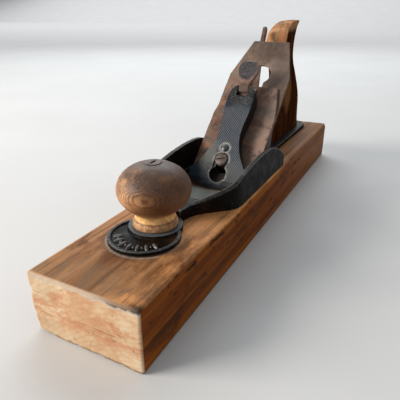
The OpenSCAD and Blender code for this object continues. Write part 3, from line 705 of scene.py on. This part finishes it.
def cap_iron_extra(s, col, mid):
    b = s.bed()
    u, t = s.axis(0, b), s.axis(1, b)
    pink = s.both(s.band(u, 0.011, 0.017), s.band(s.noise(b, 130.0, 5, 0.66), 0.40, 0.56))
    col = s.tint(col, pink, 0.6, (0.36, 0.24, 0.18))
    # painted light: the far right strip of the cap iron made lighter where light falls on it
    lit_strip = s.band(u, 0.0185, 0.0205)
    col = s.tint(col, lit_strip, 0.7, (0.36, 0.235, 0.175))
    purple = s.both(s.band(s.noise(b, 85.0, 5, 0.7), 0.50, 0.60), s.band(t, 0.055, 0.062))
    col = s.tint(col, purple, 0.65, (0.085, 0.05, 0.05))
    grey = s.band(s.noise(s.at(move=(0.3, 0.1, 0), co=b), 110.0, 5, 0.7), 0.53, 0.6)
    col = s.tint(col, grey, 0.5, (0.14, 0.14, 0.115))
    left = s.both(s.band(u, -0.014, -0.022), s.band(s.noise(b, 160.0, 5, 0.7), 0.54, 0.62))
    col = s.tint(col, left, 0.65, (0.45, 0.15, 0.045))
    # the hump: brown under the cap, then polished greenish metal with a painted highlight at the left and
    # painted shade at the right, and painted shade at the foot
    hump = s.both(s.band(t, 0.0445, 0.040), s.band(t, 0.0195, 0.023))
    polish_and_light = s.ramp(s.noise(s.at((60, 260, 60), co=b), 1.0, 4, 0.6),
                   [(0.4, (0.22, 0.235, 0.20)), (0.62, (0.50, 0.53, 0.46))])
    polish_and_light = s.mix(s.band(u, 0.004, -0.016), polish_and_light, (0.85, 0.90, 0.80))
    polish_and_light = s.tint(polish_and_light, s.band(u, 0.0, 0.018), 0.85, (0.05, 0.055, 0.045))
    col = s.tint(col, hump, 0.9, polish_and_light)
    # painted shade where the hump's face turns down away from the light
    foot = s.band(t, 0.021, 0.017)
    col = s.tint(col, foot, 0.7, (0.035, 0.03, 0.026))
    # painted shade on the cap iron beneath the lever cap
    under = s.both(s.band(u, -0.011, -0.009), s.band(u, 0.011, 0.009), s.band(t, 0.042, 0.045),
                   s.band(t, 0.074, 0.071))
    col = s.tint(col, under, 0.92, (0.008, 0.006, 0.005))
    # the +X side faces: painted shade low down, orange rust higher up
    side = s.band(s.facing(0), 0.45, 0.8)
    flank = s.mix(s.band(t, 0.075, 0.095), (0.055, 0.016, 0.006), (0.20, 0.07, 0.026))
    return s.tint(col, side, 0.9, flank)


def bolt_extra(s, col, mid):
    # painted shade: the slot drawn as a near-black line across the head
    slot = s.both(s.band(s.axis(2), 0.0788, 0.0790), s.band(s.axis(0), -0.0010, -0.0008),
                  s.band(s.axis(0), 0.0010, 0.0008))
    return s.mix(slot, col, (0.004, 0.003, 0.003))


def cam_extra(s, col, mid):
    b = s.bed()
    up = s.both(s.band(s.facing(1), -0.1, -0.4), s.band(s.facing(2), 0.1, 0.4))
    patch = s.both(s.blob(b, -0.0016, 0.1447, 0.0096, 0.0098, 0.2, 0.5), up)
    black = s.ramp(mid, [(0.4, (0.016, 0.017, 0.02)), (0.62, (0.06, 0.06, 0.068))])
    col = s.tint(col, patch, 0.92, black)
    tongue = s.band(s.axis(1, b), 0.1335, 0.1305)
    return s.tint(col, tongue, 0.55, (0.05, 0.03, 0.022))


def bare(name, col_a, col_b, metal=0.85, rough=(0.3, 0.5)):
    """Plain metal between two colours."""
    s = Shader(name)
    mid = s.noise(s.co, 210.0, 5, 0.65)
    fine = s.noise(s.co, 1600.0, 3, 0.6)
    col = s.ramp(mid, [(0.35, col_a), (0.62, col_b)])
    col = s.tint(col, s.band(fine, 0.6, 0.72), 0.5, tuple(v * 0.4 for v in col_a))
    n = s.bump(fine, 0.25, 0.0002)
    return s.done(col, s.ramp(mid, [(0.35, rough[0]), (0.65, rough[1])]), metal, n)


# ---------------------------------------------------------------- stage, lights, camera
def stage():
    """Floor with a rising back, and the sky light."""
    me = bpy.data.meshes.new("floor")
    side, front, bend, back, rise = 60, -9, 6.5, 14.0, 2.06
    points = [(-side, front, 0), (side, front, 0), (side, bend, 0), (-side, bend, 0),
              (side, back, rise), (-side, back, rise)]
    me.from_pydata(points, [], [(0, 1, 2, 3), (3, 2, 4, 5)])
    floor = new_object("floor", me)
    s = Shader("floor")
    n = s.noise(s.co, 6.0, 3, 0.5)
    pale = s.ramp(n, [(0.3, (0.60, 0.585, 0.565)), (0.7, (0.63, 0.615, 0.595))])
    floor.data.materials.append(s.done(pale, 0.75))
    w = bpy.data.worlds.new("studio")
    w.use_nodes = True
    w.node_tree.nodes["Background"].inputs[0].default_value = (0.86, 0.93, 1.0, 1)
    w.node_tree.nodes["Background"].inputs[1].default_value = 0.3
    bpy.context.scene.world = w


def area(name, pos, target, size, power, color):
    d = bpy.data.lights.new(name, "AREA")
    d.shape = "RECTANGLE"
    d.size, d.size_y = size
    d.energy = power
    d.color = color
    o = bpy.data.objects.new(name, d)
    bpy.context.scene.collection.objects.link(o)
    o.location = pos
    o.rotation_mode = "QUATERNION"
    o.rotation_quaternion = (Vector(target) - Vector(pos)).to_track_quat("-Z", "Y")


def lights():
    area("key", (-1.05, -0.95, 0.62), (0, -0.05, 0.05), (0.7, 0.7), 30, (1.0, 0.97, 0.93))
    area("back", (-0.7, 1.2, 1.1), (0, 0, 0.05), (1.6, 0.9), 13, (0.88, 0.95, 1.0))
    area("far", (-4.2, 5.6, 2.3), (-4.2, 5.6, 0), (11.0, 9.0), 370, (0.95, 0.97, 1.0))
    area("fill", (1.3, -0.5, 0.7), (0, 0, 0.05), (1.0, 1.0), 1.0, (1.0, 0.95, 0.9))


def camera():
    """The camera that was fitted to the edges of the stock in the photo."""
    d = bpy.data.cameras.new("camera")
    d.lens = 37.01
    d.sensor_width = 36
    d.clip_start, d.clip_end = 0.01, 100
    o = bpy.data.objects.new("camera", d)
    bpy.context.scene.collection.objects.link(o)
    right = Vector((0.88708, 0.46161, -0.00251)).normalized()
    forward = Vector((-0.42137, 0.80750, -0.41280)).normalized()
    up = right.cross(forward).normalized()
    forward = up.cross(right)
    m = Matrix((right, up, -forward)).transposed().to_4x4()
    m.translation = Vector((0.1252, -0.3052, 0.15684))
    o.matrix_world = m
    bpy.context.scene.camera = o


# ---------------------------------------------------------------- pieces
def make_stock(mat):
    """The wooden body with eased, chipped and dented edges."""
    o = recast("stock", "wood_body", 0.85, 0)
    p = coords(o.data)
    half = np.array([STOCK_W, STOCK_L, STOCK_H]) / 2
    q = p - [0, 0, half[2]]
    # easing radius: small on the long edges, larger at worn places
    r = 1.3 + 0.7 * noise(p, 14, 3, 3)
    r += 1.1 * step(0.35, 0.75, noise(p, (9, 6, 9), 8, 2))
    right_top = step(30, 34, p[:, 0]) * step(34, 37, p[:, 2])
    r += right_top * (0.5 + 1.7 * step(0.25, 0.7, noise(p, (6, 7, 6), 21, 2)))
    toe = step(-186, -189, p[:, 1])
    r += toe * step(8, 2, p[:, 2]) * 0.8 * step(0.2, 0.7, noise(p, 4, 5, 2))
    corner = np.exp(-(((p[:, 0] + half[0]) / 7) ** 2 + (p[:, 2] / 9) ** 2 + ((p[:, 1] - TOE) / 7) ** 2))
    r += 4.2 * corner
    r[(q[:, 2] < -15) & (toe > 0)] *= 0.8
    for x, z, size, depth in CHIPS:
        away = ((p[:, 0] - x) / size) ** 2 + ((p[:, 2] - z) / size) ** 2 + ((p[:, 1] - TOE) / 5) ** 2
        r += depth * np.exp(-away)
    r = np.clip(r, 0.4, 9)[:, None]
    d = np.abs(q) - (half - r)
    w = np.maximum(d, 0)
    length = np.linalg.norm(w, axis=1, keepdims=True)
    over = np.maximum(length - r, 0)
    two = ((d > 0).sum(1) >= 2)[:, None]
    move = np.where(two, over * w / np.maximum(length, 1e-9), 0)
    p = p - np.sign(q) * move
    # dents on the faces
    out = np.abs(np.abs(q) - half) < 0.2
    dent = 0.10 * np.maximum(noise(p, 11, 31, 3), 0) + 0.5 * step(0.68, 0.92, noise(p, (5, 8, 5), 77, 2))
    dent += 0.16 * step(0.5, 0.85, noise(p, (1.8, 6, 1.8), 55, 2))
    dent[out[:, 2] & (q[:, 2] < 0)] *= 0.15
    inner = np.abs(p[:, 0]) < 32.5
    dent[inner] *= 0.3 + 0.7 * (np.abs(p[inner, 1] + 60) > 30)
    p = p - np.sign(q) * out * dent[:, None] * (1 - 0.5 * out[:, 1:2])
    # the walls of the throat stand clear of the skewed iron
    across = np.abs(p[:, 0])
    wall = (across > 25) & (across < 29.5) & (np.abs(p[:, 1] + 45) < 45) & (p[:, 2] < STOCK_H + 0.3)
    p[wall, 0] += 0.35 * np.sign(p[wall, 0])
    set_coords(o.data, p)
    edge_paint(o, 5, 1.4)
    return finish_piece(o, ROOT, ["wood_body"], mat)


def raised(o, shapes, z0, z1, inset):
    """Adds low flat-topped shapes, each a counter-clockwise outline, to the mesh of o."""
    bm = bmesh.new()
    bm.from_mesh(o.data)
    for pts in shapes:
        c = np.mean(pts, axis=0)
        low = [bm.verts.new((x * MM, y * MM, z0 * MM)) for x, y in pts]
        shrunk = [p + (c - p) * inset for p in np.array(pts)]
        top = [bm.verts.new((x * MM, y * MM, z1 * MM)) for x, y in shrunk]
        bm.faces.new(top)
        for i in range(len(pts)):
            j = (i + 1) % len(pts)
            bm.faces.new((low[i], low[j], top[j], top[i]))
    bm.to_mesh(o.data)
    bm.free()


def leaves():
    """A plain row of leaves and dots on the disc, where the real casting has its mark."""
    out = []
    for i in range(-6, 7):
        a = math.radians(-90 + 9.6 * i)
        away, along = np.array([math.cos(a), math.sin(a)]), np.array([-math.sin(a), math.cos(a)])
        c = np.array([0, DISC_Y]) + (DISC_R - 6.6) * away
        half, wide = (3.5, 1.35) if i % 2 == 0 else (0.8, 0.8)
        outline = []
        for t in np.arange(12) * math.pi / 6:
            swell = math.sin(t) * abs(math.sin(t)) ** 0.3
            outline.append(c + away * half * math.cos(t) + along * wide * swell)
        out.append(outline)
    return out


def make_casting(mat):
    o = recast("iron_top", "top_casting", 0.5, 4)
    raised(o, leaves(), z0=39.5, z1=40.75, inset=0.25)
    flow(o, 0.10, 5.0, 11)
    flow(o, 0.05, 1.6, 12)
    edge_paint(o, 7, 1.5)
    return finish_piece(o, ROOT, ["top_casting"], mat)


def make_knob(mat):
    foot = [(13.2, 0), (13.7, 0.9), (13.4, 3.0), (12.5, 4.6), (11.85, 6.4), (12.3, 8.6), (14.2, 10.4)]
    ball = [(21.9 * math.cos(a), 23.1 + 15.9 * math.sin(a)) for a in np.radians(np.arange(-48, 85, 3))]
    top = [(5.3, 38.65), (5.1, 38.3), (5.05, 33.3), (0.4, 33.3)]
    prof = [(0.4, 0)] + [tuple(v) for v in spline(foot, 5)] + ball + top
    o = lathe("knob", prof, Matrix.Translation((0, KNOB_Y * MM, CASTING_TOP * MM)), 128)
    p = coords(o.data)
    c = np.array([0, KNOB_Y, 0])
    rad = np.linalg.norm((p - c)[:, :2], axis=1)
    n = normals(o.data)
    d = 0.16 * noise(p, 9, 4, 3) - 0.18 * step(0.45, 0.85, noise(p, 2.6, 6, 2)) * (rad > 6)
    d -= 0.12 * (np.abs(p[:, 2] - 46.7) < 0.6)
    p = p + n * np.minimum(d, 0.12)[:, None] * (rad > 6)[:, None]
    set_coords(o.data, p)
    edge_paint(o, 4, 1.0)
    return finish_piece(o, ROOT, ["front_knob"], mat)


# rungs up the tote: (distance from the toe, height) of its rear and of its front
RUNGS = [((348.8, 42), (248.5, 42)), ((348.4, 44.5), (248.5, 44.5)), ((347.6, 48), (249.4, 48)),
         ((346.8, 52), (251.4, 52.2)), ((346.0, 57), (258.5, 57)), ((345.3, 63), (268.5, 62)),
         ((344.7, 69), (277, 68)), ((343.0, 76), (283.3, 74.5)), ((339.2, 83), (286.3, 82)),
         ((333.5, 90.8), (287.4, 90)), ((327.2, 98), (286.9, 98)), ((321, 104.5), (284.9, 106)),
         ((315.4, 110.2), (282.2, 112.5)), ((311, 115.6), (279.6, 118.6)), ((307.8, 121), (277.3, 125)),
         ((306.4, 126.5), (275.9, 131)), ((307, 131), (276.6, 136.2)), ((309.5, 135.2), (280, 141)),
         ((313, 139.1), (287.5, 145.2)), ((317, 143.2), (297.5, 148.6)), ((320.6, 146.9), (309, 150.6)),
         ((323.2, 149.6), (319.5, 151.0))]


def make_tote(mat):
    """The handle, lofted up its rungs, its edges rounded and its horn narrowed."""
    rear = spline([r[0] for r in RUNGS], 3)
    front = spline([r[1] for r in RUNGS], 3)
    m, k = len(rear), 72
    t = np.arange(m) / (m - 1)
    half = 10.45 - 1.6 * step(0.72, 1.0, t) - 0.25 * np.sin(np.pi * step(0.1, 0.7, t))
    rings = []
    for i in range(m):
        a, b = rear[i], front[i]
        mid, hl = (a + b) / 2, np.linalg.norm(b - a) / 2
        e = (b - a) / (2 * hl)
        low = step(0.13, 0.0, t[i])
        horn = step(0.60, 0.74, t[i])
        ang = np.arange(k) * 2 * math.pi / k
        ca, sa = np.cos(ang), np.sin(ang)
        # a slab with rounded ends; its ends' depth depends on where it is
        ends = np.minimum(half[i] * (0.95 - 0.25 * low), hl * 0.98)
        front_end = ends * (1 - 0.72 * horn)
        dep = np.where(ca > 0, front_end, ends)
        sharp = np.where(sa > 0, 2.2 + 1.4 * horn, 2.2 + 0.3 * horn)
        cx = np.sign(sa) * np.abs(sa) ** (2 / sharp)
        cl = np.sign(ca) * np.abs(ca) ** (2 / sharp)
        along = np.sign(ca) * (hl - dep) + cl * dep
        along = np.where(np.abs(ca) < 1e-9, 0, along)
        w = half[i] * cx
        # the -X top corner of the horn is worn round
        left = step(0.0, -half[i], w) * horn * step(0.0, hl, along)
        along = along - 2.2 * left
        y = mid[0] + e[0] * along + TOE
        z = mid[1] + e[1] * along
        rings.append(np.stack([w, y, z], 1))
    o = grid_surface("tote", rings)
    sub = o.modifiers.new("fine", "REMESH")
    sub.mode = "VOXEL"
    sub.voxel_size = 0.7 * MM
    s = o.modifiers.new("ease", "SMOOTH")
    s.factor, s.iterations = 0.5, 6
    baked(o)
    p = coords(o.data)
    n = normals(o.data)
    # the nut of the long rod is sunk into the top, square to the rod
    rod_top = np.array([0, TOE + 300, 148.4])
    v = np.array([0, 5.0, -106.4])
    v /= np.linalg.norm(v)
    rel = p - rod_top
    al = rel @ v
    rr = np.linalg.norm(rel - al[:, None] * v, axis=1)
    sink = (rr < 6.3) & (al < 8)
    p = np.where(sink[:, None], p + v * (np.clip(0.3 - al, 0, 9))[:, None], p)
    d = 0.22 * noise(p, 12, 14, 3) - 0.25 * step(0.5, 0.85, noise(p, (2.5, 5, 5), 15, 2))
    p = p + n * np.minimum(d, 0.05)[:, None] * (~sink)[:, None]
    p[:, 2] = np.maximum(p[:, 2], CASTING_TOP)
    set_coords(o.data, p)
    edge_paint(o, 8, 1.0)
    return finish_piece(o, ROOT, ["tote"], mat)


def plain(name, node, body, mat, voxel=0.3, smooth=2, gain=2.0, rough=0.0):
    """A CAD node recast as it is, with worn edges and its material."""
    o = recast(name, node, voxel, smooth)
    if rough:
        flow(o, rough, 1.6, 40 + len(name))
    edge_paint(o, 5, gain)
    return finish_piece(o, body, [node], mat)


def at_stud():
    """The frame of the depth screw, its Z along the screw."""
    m = Matrix.Translation((0, STUD_Y * MM, STUD_Z * MM))
    return m @ Matrix.Rotation(STUD_LEAN - math.pi / 2, 4, "X")


def make_wheel(mat):
    """The knurled wheel, turned about the depth screw."""
    bore, cuts, slant, cut_depth = 5.65, 32, 1.9, 0.42
    prof = [(bore, 4.6), (6.4, 4.5), (11.5, 4.5), (12.3, 5.2), (12.5, 5.8), (12.5, 12.2),
            (12.2, 13.0), (11.6, 13.5), (10.4, 13.5), (9.5, 12.0), (9.0, 11.1), (8.1, 11.0),
            (7.5, 11.9), (7.0, 12.6), (bore, 12.6), (bore, 4.6)]
    fine = []
    for i in range(len(prof) - 1):
        (r0, z0), (r1, z1) = prof[i], prof[i + 1]
        k = max(1, int(math.hypot(r1 - r0, z1 - z0) / 0.45))
        fine += [(r0 + (r1 - r0) * j / k, z0 + (z1 - z0) * j / k) for j in range(k)]
    fine.append(fine[0])

    def knurl(r, z, ang):
        base = np.full(len(ang), r, float)
        if r > 12.2:
            cut = np.abs(np.sin(ang * cuts + z * slant)) * np.abs(np.sin(ang * cuts - z * slant))
            base -= cut_depth * (1 - np.sqrt(cut))
        return base

    o = lathe("wheel", fine, at_stud(), 384, knurl)
    edge_paint(o, 2, 2.5)
    return finish_piece(o, "nut_wheel", ["adjusting_wheel"], mat)


def make_stud(mat):
    sides, turns, per_turn = 32, 34, 12
    radius, start, length, thread_from, thread_depth = 3.48, -22.9, 38.3, -8, 0.5
    chamfer_from, chamfer_slope = 14.9, 1.2
    ang = np.arange(sides) * 2 * math.pi / sides
    rings = []
    for i in range(turns * per_turn + 1):
        w = start + length * i / (turns * per_turn)
        depth = np.abs(((w / THREAD_PITCH + ang / (2 * math.pi)) % 1.0) - 0.5) * 2
        r = radius - (thread_depth * depth if w > thread_from else 0)
        r = np.minimum(r, radius - np.maximum(0, w - chamfer_from) * chamfer_slope)
        rings.append(np.stack([r * np.cos(ang), r * np.sin(ang), np.full(sides, w)], 1))
    o = grid_surface("stud", rings)
    o.data.transform(at_stud())
    edge_paint(o, 2, 2.0)
    return finish_piece(o, ROOT, ["adjusting_stud"], mat, smooth=False)


def make_knob_bolt(mat):
    head_z, lift = 76, 0.4
    o = recast("knob_bolt", "knob_bolt", 0.2, 1)
    p = coords(o.data)
    p[p[:, 2] > head_z, 2] += lift
    set_coords(o.data, p)
    edge_paint(o, 3, 1.0)
    return finish_piece(o, ROOT, ["knob_bolt"], mat)


def materials():
    """Every material by its short name, colours in linear RGB."""
    return dict(
        wood=stock_wood(),
        knob=knob_wood(),
        tote=tote_wood(),
        iron=japanned("casting_iron", (0.0045, 0.003, 0.0022), (0.012, 0.010, 0.008),
                      (0.13, 0.125, 0.115), 0.35, 0.45, 0.6, casting_extra, (0.36, 0.6), 0.07),
        cap=japanned("cap_black", (0.018, 0.023, 0.03), (0.06, 0.07, 0.084), (0.20, 0.20, 0.19), 0.9,
                     0.25, 0.3, cap_extra, (0.34, 0.5), 0.22),
        frog=japanned("frog_iron", (0.008, 0.008, 0.008), (0.03, 0.03, 0.03), (0.16, 0.15, 0.14), 0.4,
                      0.5, spec=0.2),
        rust=rusty("cap_iron_rust", a=(0.09, 0.045, 0.03), b=(0.20, 0.108, 0.07), c=(0.29, 0.172, 0.118),
                   extra=cap_iron_extra, wear=0.15, spots=0.5),
        cut=rusty("cutter_rust", a=(0.095, 0.056, 0.038), b=(0.175, 0.112, 0.078), c=(0.24, 0.165, 0.12),
                  extra=cutter_extra, wear=0.2, spots=0.3, metal=0.1, rough=(0.5, 0.7)),
        cam=rusty("cam_rust", a=(0.12, 0.06, 0.042), b=(0.22, 0.125, 0.09), c=(0.30, 0.20, 0.155),
                  scale=2.2, extra=cam_extra, wear=0.0, rough=(0.6, 0.78), metal=0.1),
        lever=rusty("lever_rust", a=(0.09, 0.045, 0.028), b=(0.16, 0.09, 0.06), c=(0.22, 0.15, 0.11),
                    scale=2.0),
        screw=rusty("dark_screw", a=(0.04, 0.028, 0.022), b=(0.09, 0.06, 0.045), c=(0.15, 0.10, 0.075),
                    scale=2.5, metal=0.5),
        bolt=rusty("bolt_head", a=(0.05, 0.03, 0.022), b=(0.085, 0.052, 0.038), c=(0.12, 0.08, 0.06),
                   scale=2.5, extra=bolt_extra, wear=0.0, spots=0.1),
        head=rusty("screw_head", a=(0.08, 0.055, 0.047), b=(0.15, 0.115, 0.10), c=(0.25, 0.205, 0.185),
                   scale=2.5, metal=0.4),
        steel=bare("bare_steel", (0.20, 0.18, 0.165), (0.36, 0.34, 0.32)),
        pale=bare("pale_steel", (0.05, 0.052, 0.052), (0.13, 0.135, 0.13), 0.8, (0.34, 0.5)),
        dull=rusty("dark_iron", a=(0.025, 0.022, 0.02), b=(0.055, 0.045, 0.04), c=(0.09, 0.07, 0.055),
                   scale=2.0),
        brass=bare("brass", (0.22, 0.145, 0.05), (0.42, 0.30, 0.12), 0.9, (0.32, 0.5)),
        old_brass=bare("old_brass", (0.17, 0.08, 0.035), (0.30, 0.16, 0.07), 0.2, (0.65, 0.8)),
    )


def pieces():
    m = materials()
    make_stock(m["wood"])
    make_casting(m["iron"])
    make_knob(m["knob"])
    make_tote(m["tote"])
    make_knob_bolt(m["bolt"])
    plain("casting_screws", "casting_screws", ROOT, m["screw"], 0.3)
    plain("tote_rod", "tote_rod", ROOT, m["steel"], 0.4)
    plain("tote_nut", "tote_nut", ROOT, m["old_brass"], 0.25)
    plain("tote_screw", "tote_screw", ROOT, m["screw"], 0.25)
    plain("frog", "frog", ROOT, m["frog"], 0.4, 4, 1.6, 0.06)
    plain("frog_screws", "frog_screws", ROOT, m["screw"], 0.25)
    make_stud(m["steel"])
    plain("nut_hub", "adjusting_nut", "nut_hub", m["brass"], 0.22)
    make_wheel(m["brass"])
    plain("yoke", "yoke", "yoke_body", m["dull"], 0.22, 2)
    plain("yoke_pin", "yoke_pin", ROOT, m["steel"], 0.2)
    plain("lateral_lever", "lateral_lever", "lateral", m["lever"], 0.3, 3)
    plain("lateral_roller", "lateral_roller", "lateral", m["steel"], 0.2)
    plain("lateral_pivot", "lateral_pivot", ROOT, m["steel"], 0.2)
    plain("cutter", "cutter", "irons", m["cut"], 0.4, 2, 2.0, 0.03)
    plain("cap_iron", "cap_iron", "irons", m["rust"], 0.4, 2, 2.0, 0.03)
    plain("cap_iron_screw", "cap_iron_screw", "iron_carriage", m["screw"], 0.25)
    plain("lever_cap", "lever_cap", "lever_cap_body", m["cap"], 0.3, 4, 1.8, 0.05)
    plain("lever_cap_screw", "lever_cap_screw", ROOT, m["head"], 0.22)
    plain("cap_spring", "lever_cap_spring", "lever_cap_body", m["steel"], 0.3, 1)
    plain("cap_rivet", "spring_rivet", "lever_cap_body", m["pale"], 0.18)
    plain("cam_lever", "cam_lever", "cam", m["cam"], 0.25, 5)
    plain("cam_pin", "cam_pin", "lever_cap_body", m["steel"], 0.2)


bpy.context.scene.view_settings.view_transform = "Standard"
bpy.context.scene.view_settings.look = "None"
camera()
lights()
stage()
pieces()
